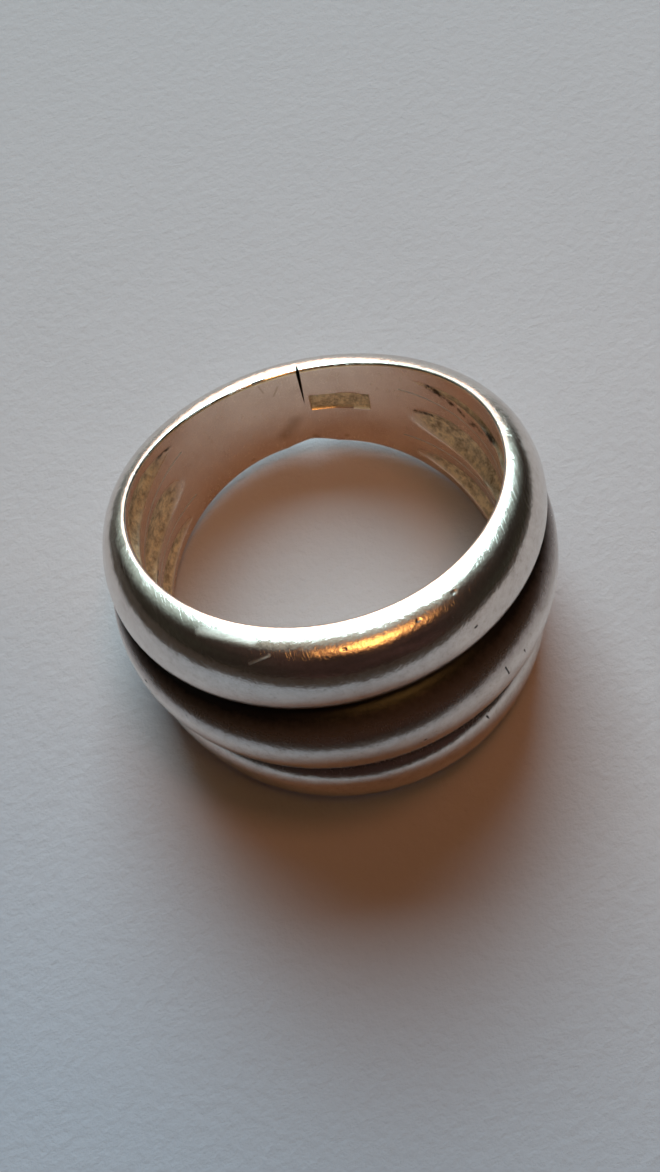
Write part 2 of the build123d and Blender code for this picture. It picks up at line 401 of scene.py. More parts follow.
class RingRule:
    """Radii and heights of the ring at one turn, as fields."""

    def __init__(self, nodes, size, turn):
        self.nodes = nodes
        self.size = size
        first = nodes.cosine(turn)
        waves = (first, nodes.cosine(turn * 2))
        radii = ("outer", "middle", "crown")
        self.outer, self.middle, self.crown = (size.bore + around(size, waves, name) for name in radii)
        sizes = ("rim", "bulge", "lean", "half")
        self.rim, self.bulge, self.lean, self.half_middle = (around(size, waves, name) for name in sizes)
        share = nodes.smaller(abs(turn) / size.shoulder, 1.0)
        self.wander = size.wander * nodes.sine(share * radians(180)) * nodes.math("SIGN", turn) * size.upper
        self.fade = nodes.cosine(share * radians(90)) ** 2
        self.groove = self.outer - size.groove * self.fade
        self.flank = self.half_middle + size.joint + self.wander
        self.crest = (self.half_middle + size.joint + self.rim) * 0.5
        self.half = self.rim - self.crest
        self.level = nodes.ramp(abs(turn), size.level, size.shoulder, smooth=True)
        limit = nodes.cosine(size.reach)
        self.reach = (first - limit) / (1 - limit)
        self.depth = self.outer - self.crown
        self.last = nodes.math("ARCCOSINE", (size.bore - self.crown) / self.depth)
        self.top = self.crest + self.half * nodes.sine(self.last)
        self.corner_slope = (self.depth * nodes.sine(self.last), -(self.half * nodes.cosine(self.last)))

    def dome(self, height):
        """Radius of the plain band that the ribs level out into, at a height up to the crest."""
        share = height / self.crest
        return self.outer + (self.middle - self.outer) * (1 - share * share)

    def over_crown(self, share):
        """Radius and height to add over the outer crest and crown, from the crest at 0 to the bore at 1."""
        turn = self.last * share
        return self.depth * (self.nodes.cosine(turn) - 1), self.half * self.nodes.sine(turn)

    def hollow(self, away, half_width, rise):
        """Depth of a hollow behind the bore wall at a height away from its middle."""
        share = away / half_width
        deep = self.size.sink + (rise - self.size.crest_wall) * self.reach
        return self.nodes.larger(deep * self.nodes.root(1 - share * share) - self.size.sink, 0.0)

    def groove_dirt(self, away):
        """Dirt that gathers in a groove together with painted shade, gone where away from it is 1 and where
        the groove has faded.
        """
        return (1 - self.nodes.smaller(away, 1.0)) * self.nodes.ramp(self.fade, 0.05, 0.3)

    def worn_corner(self, away, slope):
        """Radius and height to add at a distance from the bore's sharp edge to wear it round."""
        along_radius, along_height = slope
        norm = self.nodes.root(along_radius * along_radius + along_height * along_height)
        near = self.nodes.larger(self.size.worn_edge - away, 0.0)
        pull = near * near / (self.size.worn_edge * 4)
        return pull * along_radius / norm, pull * (along_height / norm - 1)

    def from_corner(self, radius, height):
        """Distance of a point of the outer line from the bore's sharp edge."""
        return self.nodes.root((radius - self.size.bore) ** 2 + (height - self.top) ** 2)


class Section(NamedTuple):
    """A piece's section at one turn: its outer and inner line, hollow depth and groove dirt with painted
    shade, as fields.
    """

    radius: Field
    height: Field
    inner_radius: Field
    inner_height: Field
    depth: Field = 0.0
    dirt: Field = 0.0


def arch(nodes, over, fullness):
    """Rounded line from one foot at over -1 to the other at 1: its place across and how far it is out."""
    rest = abs(over)
    part = 1 - rest
    out = part * (3 * fullness * rest * rest + 3 * rest * part + part * part)
    inward = part * part * (3 * rest * (1 - fullness) + part)
    return (1 - inward) * nodes.math("SIGN", over), out


def outer_rib_section(nodes, size, turn, along):
    """An outer rib: a flat flank up from the bore, then an arch from the groove to the rim."""
    rule = RingRule(nodes, size, turn)
    up = nodes.ramp(along, 0.0, RIB_FLANK)
    across, out = arch(nodes, nodes.ramp(along, RIB_FLANK, 1.0) * 2 - 1, size.outer_fullness)
    near = (1 + across) * 0.5
    radius = size.bore + (rule.groove - size.bore) * (up - near) + rule.bulge * out
    height = rule.flank + (rule.top - rule.flank) * near + rule.lean * out

    level_height = rule.flank + (rule.crest - rule.flank) * nodes.ramp(along, RIB_FLANK, RIB_CREST)
    over_radius, over_height = rule.over_crown(nodes.ramp(along, RIB_CREST, 1.0))
    level_radius = size.bore + (rule.dome(level_height) - size.bore) * up + over_radius
    radius = nodes.blend(rule.level, radius, level_radius)
    height = nodes.blend(rule.level, height, level_height + over_height)

    rise, fall = rule.corner_slope
    slope = (nodes.blend(rule.level, rule.bulge, rise), nodes.blend(rule.level, rule.lean, fall))
    worn_radius, worn_height = rule.worn_corner(rule.from_corner(radius, height), slope)
    inner_height = nodes.blend(0.5 - 0.5 * nodes.cosine(along * radians(180)), rule.flank, rule.top)
    shut = size.upper * nodes.ramp(turn, size.shut_start, size.shut_end)
    half_width = (rule.half - size.flank_wall) * (1 - size.shut_width * shut)
    depth = rule.hollow(inner_height - rule.crest, half_width, size.outer_front)
    depth = depth * (1 - size.shut_depth * shut)
    inner_worn_radius, inner_worn_height = rule.worn_corner(rule.top - inner_height, slope)
    return Section(
        radius + worn_radius,
        height + worn_height,
        size.bore + depth + inner_worn_radius,
        inner_height + inner_worn_height,
        depth,
        rule.groove_dirt(nodes.ramp(along, RIB_FLANK, RIB_DIRT_AND_SHADE_END)),
    )


def middle_rib_section(nodes, size, turn, along):
    """The middle rib: two flat flanks and a full round between them."""
    rule = RingRule(nodes, size, turn)
    up = nodes.ramp(along, 0.0, RIB_FLANK) - nodes.ramp(along, 1 - RIB_FLANK, 1.0)
    over = nodes.ramp(along, RIB_FLANK, 1 - RIB_FLANK) * 2 - 1
    across, out = arch(nodes, over, size.middle_fullness)
    middle = rule.wander * 0.5
    half = rule.half_middle + middle
    radius = size.bore + (rule.groove - size.bore) * up + (rule.middle - rule.groove) * out
    level_height = middle + half * over
    level_radius = size.bore + (rule.dome(level_height) - size.bore) * up
    inner_height = middle + half * (along * 2 - 1)
    depth = rule.hollow(inner_height, rule.half_middle - size.flank_wall, size.middle_front)
    return Section(
        nodes.blend(rule.level, radius, level_radius),
        nodes.blend(rule.level, middle + half * across, level_height),
        size.bore + depth,
        inner_height,
        depth,
        # The middle rib's dirt reaches far up its slope: painted shade under the top rib's overhang as well
        # as dirt.
        rule.groove_dirt((1 - abs(over)) * MIDDLE_DIRT_AND_SHADE),
    )


def up_to(nodes, away, half, slope):
    """1 where away is less than half and 0 where it is more, with a slope between them."""
    return 1 - nodes.ramp(away, half - slope, half + slope)


def stamped_recess(nodes, size, turn, height):
    """Depth of the bare stamped recess inside the right arm."""
    along = abs(turn * size.bore - size.stamp_turn * size.bore)
    across = abs(height - size.stamp_height)
    within = up_to(nodes, along, size.stamp_length / 2, size.stamp_slope)
    within = within * up_to(nodes, across, size.stamp_width / 2, size.stamp_slope)
    return size.stamp_depth * within


def shank_section(nodes, size, turn, along):
    """The shank: up one crown, across the low dome, over the other crown, and pinched up below the seam."""
    rule = RingRule(nodes, size, turn)
    below_radius, below_height = rule.over_crown(1 - nodes.ramp(along, 0.0, SHANK_CROWN))
    above_radius, above_height = rule.over_crown(nodes.ramp(along, 1 - SHANK_CROWN, 1.0))
    flat = rule.crest * (nodes.ramp(along, SHANK_CROWN, 1 - SHANK_CROWN) * 2 - 1)
    radius = rule.dome(flat) + below_radius + above_radius
    height = flat - below_height + above_height
    worn_radius, worn_height = rule.worn_corner(rule.from_corner(radius, abs(height)), rule.corner_slope)
    inner_height = rule.top * -nodes.cosine(along * radians(180))
    inner_away = rule.top - abs(inner_height)
    inner_worn_radius, inner_worn_height = rule.worn_corner(inner_away, rule.corner_slope)
    depth = stamped_recess(nodes, size, turn, inner_height)
    side = nodes.math("SIGN", along - 0.5)
    from_seam = abs(abs(turn - size.seam + radians(180)) - radians(180))
    pinch = size.seam_lift / size.rim_back * nodes.ramp(from_seam, size.seam_reach, 0.0) * (along < 0.5)
    return Section(
        radius + worn_radius,
        (height + worn_height * side) * (1 - pinch),
        size.bore + depth + inner_worn_radius,
        (inner_height + inner_worn_height * side) * (1 - pinch),
        depth,
    )


def seam_section(nodes, size, turn, along):
    """The shank's section cut off below the crack."""
    shank = shank_section(nodes, size, turn, along)
    top = size.rim_back - size.crack
    height = nodes.smaller(shank.height, top)
    inner_height = nodes.smaller(shank.inner_height, top)
    return Section(shank.radius, height, size.bore, inner_height)


def strip_section(nodes, size, turn, along):
    """Thin strip of solder between two flanks: out, along the groove's floor, and back in."""
    rule = RingRule(nodes, size, turn)
    out = nodes.ramp(along, 0.0, SOLDER_WALL) - nodes.ramp(along, 1 - SOLDER_WALL, 1.0)
    foot = rule.half_middle + rule.wander
    height = foot + size.joint * nodes.ramp(along, SOLDER_WALL, 1 - SOLDER_WALL)
    floor = nodes.blend(rule.level, rule.groove, rule.dome(height))
    return Section(size.bore + (floor - size.bore) * out, height, size.bore, foot + size.joint * along)


def crack_gap(nodes, size, radius, height):
    """Width of the seam: a film of solder below, open and widening above, and nearly shut on the outside."""
    foot = size.rim_back - size.crack
    opening = nodes.ramp(height, foot, size.rim_back) ** CRACK_CURVE
    inward = nodes.ramp(radius, size.bore + size.crack_shut, size.bore - size.crack_open)
    return size.seam_film * (height < foot) + size.crack_mouth * opening * inward


PIECE_INPUTS = ("Start", "Stop", "Side", "Start at seam", "Stop at seam")
STEP_INPUTS = ("Steps around", "Steps across")


def size_labels():
    """The label of each size of the ring, which also names its input of a geometry tree."""
    return {key: prop.keywords["name"] for key, prop in RingSizes.__annotations__.items()}


def add_inputs(tree):
    """Gives a geometry tree an input for each size of the ring and for each fact of its piece."""
    for label in (*size_labels().values(), *PIECE_INPUTS):
        tree.interface.new_socket(label, in_out="INPUT", socket_type="NodeSocketFloat")
    for label in STEP_INPUTS:
        tree.interface.new_socket(label, in_out="INPUT", socket_type="NodeSocketInt")
    tree.interface.new_socket("Finish", in_out="INPUT", socket_type="NodeSocketMaterial")


def wrapped_tree(name, section):
    """Geometry tree that wraps a flat grid round the finger as a closed tube of this section."""
    tree = bpy.data.node_groups.new(name, "GeometryNodeTree")
    tree.interface.new_socket("Geometry", in_out="OUTPUT", socket_type="NodeSocketGeometry")
    add_inputs(tree)
    nodes = Nodes(tree)
    given = nodes.make("NodeGroupInput").outputs
    size = SimpleNamespace(**{key: Field(nodes, given[label]) for key, label in size_labels().items()})
    put = {label: Field(nodes, given[label]) for label in (*PIECE_INPUTS, *STEP_INPUTS, "Finish")}
    size.upper = (put["Side"] + 1) * 0.5

    steps = {"Vertices X": put["Steps around"], "Vertices Y": put["Steps across"]}
    grid = nodes.field("GeometryNodeMeshGrid", None, {"Size X": 1.0, "Size Y": 1.0, **steps}, output="Mesh")
    x, y, _ = nodes.parts(nodes.field("GeometryNodeInputPosition"))
    part = x + 0.5
    loop = (y + 0.5) * 2
    inside = loop > 1.0
    turn = nodes.blend(part, put["Start"], put["Stop"])
    cut = section(nodes, size, turn, 1 - abs(loop - 1))
    radius = nodes.blend(inside, cut.radius, cut.inner_radius)
    height = nodes.blend(inside, cut.height, cut.inner_height)
    gap = crack_gap(nodes, size, radius, height) / size.bore * 0.5
    turn = turn + gap * (put["Start at seam"] * (1 - part) - put["Stop at seam"] * part)
    position = nodes.vector(radius * nodes.sine(turn), -radius * nodes.cosine(turn), height * put["Side"])
    # The groove's dirt, partly painted shade, is stored on the outside only.
    stored = {"depth": cut.depth * inside, "inside": inside, "dirt": cut.dirt * (1 - inside)}
    tube = close_grid(nodes, grid, stored, position, put["Finish"])
    nodes.make("NodeGroupOutput", None, {"Geometry": tube})
    return tree


def close_grid(nodes, geometry, stored, position, finish):
    """Stores these values on the grid, moves its points into place, welds it and sets its finish."""
    steps = [("StoreNamedAttribute", {"Name": name, "Value": value}) for name, value in stored.items()]
    steps += [
        ("SetPosition", {"Position": position}),
        ("MergeByDistance", {"Distance": WELD}),
        ("RealizeInstances", {}),
        ("SetMaterial", {"Material": finish}),
    ]
    for kind, inputs in steps:
        geometry = nodes.field("GeometryNode" + kind, None, {"Geometry": geometry, **inputs})
    return geometry


def make_wrapped(context, name, tree, finish, steps, start, stop, side=1.0, at_seam=(0.0, 0.0)):
    """A closed piece of the ring, from its geometry tree, in the place of the CAD node of its name."""
    sizes = context.scene.ring_sizes
    piece = bpy.data.objects.new(name + "_silver", bpy.data.meshes.new(name))
    context.scene.collection.objects.link(piece)
    modifier = piece.modifiers.new("Wrap", "NODES")
    modifier.node_group = tree
    values = {label: getattr(sizes, key) for key, label in size_labels().items()}
    values |= zip(PIECE_INPUTS, (start, stop, side, *at_seam))
    values |= zip(STEP_INPUTS, steps)
    values["Finish"] = finish
    for item in tree.interface.items_tree:
        if item.in_out == "INPUT":
            modifier[item.identifier] = values[item.name]
    evaluated = piece.evaluated_get(context.evaluated_depsgraph_get())
    piece.data = bpy.data.meshes.new_from_object(evaluated)
    piece.modifiers.clear()
    # Second slot: black dirt and painted shade for the end faces.
    piece.data.materials.append(bpy.data.materials["seam_dirt"])
    close_piece(piece.data)
    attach(piece, "root")
    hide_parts(name)
    return piece


def close_piece(mesh):
    """Closes a tube's two ends with faces painted black as dirt and shade, turns its faces outwards and
    keeps its corners crisp.
    """
    work = bmesh.new()
    work.from_mesh(mesh)
    ends = bmesh.ops.holes_fill(work, edges=[edge for edge in work.edges if edge.is_boundary], sides=0)
    for face in ends["faces"]:
        # End faces are painted black: shade in the narrow crack, and dirt.
        face.material_index = 1
    bmesh.ops.recalc_face_normals(work, faces=work.faces)
    for face in work.faces:
        face.smooth = True
    work.to_mesh(mesh)
    work.free()
    mesh.set_sharp_from_angle(angle=CRISP_CORNER)


def new_material(name):
    """An empty material and the filler of its node tree."""
    material = bpy.data.materials.new(name)
    material.use_nodes = True
    material.node_tree.nodes.clear()
    return material, Nodes(material.node_tree)


def set_surface(nodes, inputs):
    """Gives a material one shader with these values or links."""
    surface = nodes.field("ShaderNodeBsdfPrincipled", None, inputs)
    nodes.make("ShaderNodeOutputMaterial", None, {"Surface": surface})


def object_place(nodes):
    """The place on the object, in metres."""
    return nodes.field("ShaderNodeTexCoord", None, None, output="Object")


def attribute(nodes, name):
    """A value that the geometry trees stored on the surface."""
    return nodes.field("ShaderNodeAttribute", {"attribute_name": name}, None, output="Fac")


def bump(nodes, height, distance, normal=None):
    """A bumped normal, with a height of 1 worth this distance."""
    inputs = {"Height": height, "Distance": distance}
    if normal is not None:
        inputs["Normal"] = normal
    return nodes.field("ShaderNodeBump", None, inputs)


def scratches(nodes, spot, turn, scale, width):
    """Long thin lines, 1 on a line and 0 away from it: the contour lines of a stretched noise."""
    inputs = {"Vector": spot, "Rotation": (turn, turn * 0.7, turn * 1.3), "Scale": (1.0, 0.04, 0.5)}
    stretched = nodes.field("ShaderNodeMapping", None, inputs)
    return 1 - nodes.ramp(abs(nodes.noise(stretched, scale)), 0.0, width)


def on_ring(turn, radius, height):
    """A place on the ring from its turn in degrees, and its radius and height in millimetres."""
    turn = radians(turn)
    return Vector((math.sin(turn) * radius, -math.cos(turn) * radius, height)) * MM


def mark(nodes, spot, one, other, width):
    """1 on the line between two places on the ring, falling to 0 at this many millimetres from it."""
    one, other = on_ring(*one), on_ring(*other)
    along = other - one
    offset = nodes.field("ShaderNodeVectorMath", {"operation": "SUBTRACT"}, {0: spot, 1: one})
    share = nodes.ramp(nodes.math_vector("DOT_PRODUCT", offset, along), 0.0, along.length_squared)
    foot = nodes.field("ShaderNodeVectorMath", {"operation": "SCALE"}, {0: along, "Scale": share})
    return nodes.ramp(nodes.math_vector("DISTANCE", offset, foot), width * MM, 0.0, smooth=True)


def marks(nodes, spot, given):
    """All of these marks together."""
    total = 0.0
    for one in given:
        total = mark(nodes, spot, *one) + total
    return total


# Single marks of wear. Each runs from one place to another, given by turn in degrees, radius and height in
# millimetres, and fades out at the last number, in millimetres, from its line.
DENTS = (
    ((-28, 10.7, 6.37), (-24, 10.4, 6.65), 0.10),
    ((-87, 9.5, 5.65), (-85, 9.5, 5.75), 0.35),
    ((24.5, 10.1, 6.8), (25, 10.1, 6.8), 0.16),
    ((-5.7, 10.4, 6.8), (-5.2, 10.4, 6.8), 0.12),
    ((13.3, 10.3, 6.8), (13.8, 10.3, 6.8), 0.12),
    ((-48.6, 11.6, 0.7), (-47.6, 11.6, 0.5), 0.20),
    ((164, 9.2, 3.2), (164, 9.3, 2.8), 0.10),
)
DARK_SPOTS = (
    ((25.2, 11.3, 5.2), (25.6, 11.3, 5.2), 0.11),
    ((7.2, 12.1, -0.1), (7.5, 12.1, -0.1), 0.09),
    ((-64.2, 11.5, 0.4), (-63.8, 11.5, 0.4), 0.10),
    ((30.4, 11.86, 1.04), (30.9, 11.97, 0.45), 0.07),
    ((37.1, 11.86, 0.75), (38.2, 11.81, -0.44), 0.07),
    ((26.4, 11.2, -3.5), (26.8, 11.2, -3.8), 0.08),
    ((51.5, 10.94, 3.33), (54.7, 11.10, 2.0), 0.09),
    ((-175.8, 9.1, 3.0), (-171.6, 9.1, 2.95), 0.10),
)
SCRAPES = (
    ((-42.9, 9.95, 6.61), (-28.2, 9.87, 6.81), 0.34),
    ((-28.1, 10.68, 6.35), (-23.5, 10.37, 6.66), 0.13),
)
FISSURES = (
    ((128, 9.1, 2.95), (112, 9.1, 2.65), 0.28),
    ((109, 9.1, 2.5), (94, 9.1, 3.45), 0.30),
    ((-136, 9.1, 2.95), (-129, 9.1, 3.2), 0.22),
    ((134, 9.05, 0.5), (128, 9.1, 0.6), 0.25),
)
STAINS = (
    ((177.4, 9.0, -0.8), (-177.9, 9.0, -1.7), 0.7),
    ((160.6, 9.0, -2.6), (160.8, 9.0, -2.6), 0.2),
    ((-164.7, 9.0, -2.6), (-164.9, 9.0, -2.6), 0.2),
    ((171.8, 9.0, -2.4), (171.0, 9.0, -2.5), 0.3),
    ((-173.2, 9.0, 2.7), (-174.3, 9.0, 2.1), 0.08),
    ((-179.4, 9.0, 2.2), (-177.4, 9.0, 1.6), 0.10),
)
CRINKLES = (
    ((100, 9.5, 5.0), (84, 9.6, 5.8), 0.8),
    ((-108, 9.1, 4.2), (-98, 9.2, 4.7), 0.6),
    ((50, 11.4, 1.7), (64, 11.3, 1.4), 1.3),
    ((-70, 11.4, 1.0), (-60, 11.5, 1.4), 0.9),
)


class Wear:
    """Patterns of wear, with the dirt and painted shade of the grooves, that the silver's colour, roughness
    and bumps share.
    """

    def __init__(self, nodes):
        spot = object_place(nodes)
        self.inside = attribute(nodes, "inside")
        self.outside = 1 - self.inside
        self.skin = nodes.ramp(attribute(nodes, "depth"), 0.0, ROUGH_SKIN, smooth=True)
        self.cloud = nodes.noise(spot, 500, detail=4.0, roughness=0.6)
        self.grime = nodes.noise(spot, 2500, detail=5.0, roughness=0.7)
        self.grain = nodes.noise(spot, 8000, detail=3.0, roughness=0.7)
        self.lumps = nodes.noise(spot, 2200, detail=4.0, roughness=0.62)
        self.lines = scratches(nodes, spot, 0.4, 3000, 0.008) + scratches(nodes, spot, 2.1, 2500, 0.006)
        self.stains = marks(nodes, spot, STAINS)
        self.nicks = nodes.smaller(marks(nodes, spot, DENTS), 1.0)
        self.scrapes = nodes.smaller(marks(nodes, spot, SCRAPES), 1.0) * self.outside
        self.crinkles = nodes.smaller(marks(nodes, spot, CRINKLES), 1.0) * self.outside
        ragged = nodes.ramp(self.grime + self.lumps * 0.5, -0.12, 0.1)
        self.fissures = marks(nodes, spot, FISSURES) * ragged * self.inside
        self.spots = nodes.smaller(marks(nodes, spot, DARK_SPOTS) * 1.5, 1.0)
        # Groove darkening: partly real dirt, partly painted shade deep in the grooves and under the ribs'
        # overhang.
        self.gathered_dirt_and_shade = attribute(nodes, "dirt")
        self.dirt = nodes.larger(nodes.ramp(self.gathered_dirt_and_shade + self.grime * 0.2, 0.2, 0.6), self.spots)
        film = self.cloud * 0.6 + self.grime * 0.8 + self.grain * 0.3
        # Tarnish rises near the grooves, partly as painted shade there, and on crinkled silver.
        self.tarnish_and_shade = nodes.ramp(film + self.gathered_dirt_and_shade * 1.1 + self.crinkles * 0.4, -0.18, 0.42)


def outside_colour(nodes, finish, wear):
    """Polished silver that tarnishes, then turns brown and black towards the grooves, as dirt and as painted
    shade.
    """
    colour = nodes.colours(wear.tarnish_and_shade, finish.silver, finish.tarnished)
    # Reddish brown beside the grooves: patina and painted shade.
    colour = nodes.colours(nodes.ramp(wear.gathered_dirt_and_shade, 0.05, 0.5) * 0.7, colour, finish.patina_and_shade)
    pitted = nodes.ramp(wear.grain + wear.grime * 0.6, 0.08, 0.28) * wear.tarnish_and_shade * 0.7
    colour = nodes.colours(pitted, colour, finish.pits)
    # Black towards the grooves: dirt and painted shade.
    return nodes.colours(wear.dirt, colour, finish.soot_and_shade)


def bore_colour(nodes, finish, wear):
    """Satin silver with stains and dark spots, its warm tint partly a painted reflection of the brown shaded
    paper in the bore.
    """
    colour = nodes.colours(nodes.ramp(wear.cloud, -0.1, 0.3), finish.satin_and_reflection, finish.stained)
    colour = nodes.colours(wear.stains * 0.45, colour, finish.pits)
    return nodes.colours(wear.spots * 0.7, colour, finish.soot_and_shade)


def silver_colour(nodes, finish, wear):
    """Colour of the silver outside and in the bore, of the skin in the hollows and of the black fissures."""
    outside, bore = outside_colour(nodes, finish, wear), bore_colour(nodes, finish, wear)
    colour = nodes.colours(wear.inside, outside, bore)
    skin = nodes.colours(nodes.ramp(wear.lumps + wear.grain * 0.3, -0.18, 0.12), finish.pits, finish.skin)
    colour = nodes.colours(wear.skin, colour, skin)
    return nodes.colours(nodes.smaller(wear.fissures * 1.3, 0.9), colour, finish.soot_and_shade)


def silver_roughness(nodes, finish, wear):
    """Duller in the bore, on lines and scrapes, in the grooves' dirt and painted shade and in tarnish, and
    dullest in the hollows.
    """
    roughness = finish.polish + nodes.larger(wear.cloud, 0.0) * 0.1 + wear.inside * 0.09
    roughness = roughness + wear.lines * 0.04 + wear.dirt * 0.1
    roughness = roughness + wear.tarnish_and_shade * wear.outside * 0.08 + wear.scrapes * 0.3
    return nodes.blend(wear.skin, roughness, 0.55 + wear.grime * 0.3)


def silver_normal(nodes, finish, wear):
    """Shallow dents, single nicks, lumps in the hollows and on crinkled silver, and a fine grain."""
    normal = bump(nodes, wear.cloud * wear.outside, finish.dents)
    normal = bump(nodes, -wear.nicks, NICK_DEPTH, normal)
    normal = bump(nodes, wear.lumps * (wear.skin + wear.crinkles * 0.25), LUMP_HEIGHT, normal)
    return bump(nodes, wear.lines * 0.3 + wear.grime + wear.grain, GRAIN_HEIGHT, normal)


def silver_material(finish):
    """Worn polished silver, satin inside the bore, rough-skinned in the hollows, and dirty and darkened with
    painted shade in the grooves.
    """
    material, nodes = new_material("worn_silver")
    wear = Wear(nodes)
    inputs = {
        "Base Color": silver_colour(nodes, finish, wear),
        "Metallic": 1 - nodes.smaller(0.7 * wear.skin + 0.7 * wear.dirt * wear.outside, 0.8),
        "Roughness": silver_roughness(nodes, finish, wear),
        "Normal": silver_normal(nodes, finish, wear),
    }
    set_surface(nodes, inputs)
    return material


def solder_material(finish):
    """Silver solder, duller and warmer than the silver, with dirt and painted shade along it on the groove
    floors.
    """
    material, nodes = new_material("silver_solder")
    # Outside, the solder blackens in patches: dirt and painted shade on the groove floors.
    grime = nodes.ramp(nodes.noise(object_place(nodes), 1500, detail=4.0, roughness=0.6), -0.25, 0.05)
    inside = attribute(nodes, "inside")
    # Inside the bore the solder takes the satin's tint, partly a painted reflection.
    colour = nodes.colours(inside, nodes.colours(grime, finish.solder, finish.soot_and_shade), finish.satin_and_reflection)
    roughness = 0.31 + grime * 0.2 * (1 - inside)
    set_surface(nodes, {"Base Color": colour, "Metallic": 1.0, "Roughness": roughness})
    return material


def dirt_and_shade_material(finish):
    """Black dirt and painted shade in the open seam."""
    material, nodes = new_material("seam_dirt")
    set_surface(nodes, {"Base Color": as_colour(finish.soot_and_shade), "Roughness": 1.0, "Specular IOR Level": 0.0})
    return material


def paper_material(stage):
    """Pale, faintly mottled paper with a tooth, with painted shade that makes it darker and cooler in front
    and darker far behind.
    """
    material, nodes = new_material("paper")
    spot = object_place(nodes)
    tooth = nodes.noise(spot, 1800, detail=5.0, roughness=0.65)
    mottle = nodes.noise(spot, 150, detail=3.0, roughness=0.5)
    darker = [channel * 0.94 for channel in stage.paper]
    colour = nodes.colours(nodes.ramp(mottle, -0.3, 0.3), stage.paper, darker)
    x, y, _ = nodes.parts(spot)
    # Painted shade: the paper darkens and cools towards the front and darkens far behind.
    colour = nodes.colours(nodes.ramp(y + x * FRONT_SHADE_SLANT, *FRONT_SHADE), colour, stage.paper_front_shade)
    colour = nodes.colours(nodes.ramp(y, *BACK_SHADE), colour, stage.paper_back_shade)
    set_surface(nodes, {"Base Color": colour, "Roughness": 0.9, "Normal": bump(nodes, tooth, PAPER_TOOTH)})
    return material


def table_material(stage):
    """Dark brown wood under the sheet."""
    material, nodes = new_material("table")
    set_surface(nodes, {"Base Color": as_colour(stage.table), "Roughness": 0.8})
    return material


def direction(azimuth, elevation):
    """Unit vector from the ring, with azimuth 0 towards the front and elevation above the middle plane."""
    flat = math.cos(elevation)
    return Vector((math.sin(azimuth) * flat, -math.cos(azimuth) * flat, math.sin(elevation)))


def towards(nodes, away, azimuth, elevation):
    """How nearly a direction is the one given in degrees: 1 when it is."""
    return nodes.math_vector("DOT_PRODUCT", away, direction(radians(azimuth), radians(elevation)))


def half_film(sizes, film):
    """Half the thickness of a solder film as a turn round the bore."""
    return film / 2 / sizes.bore


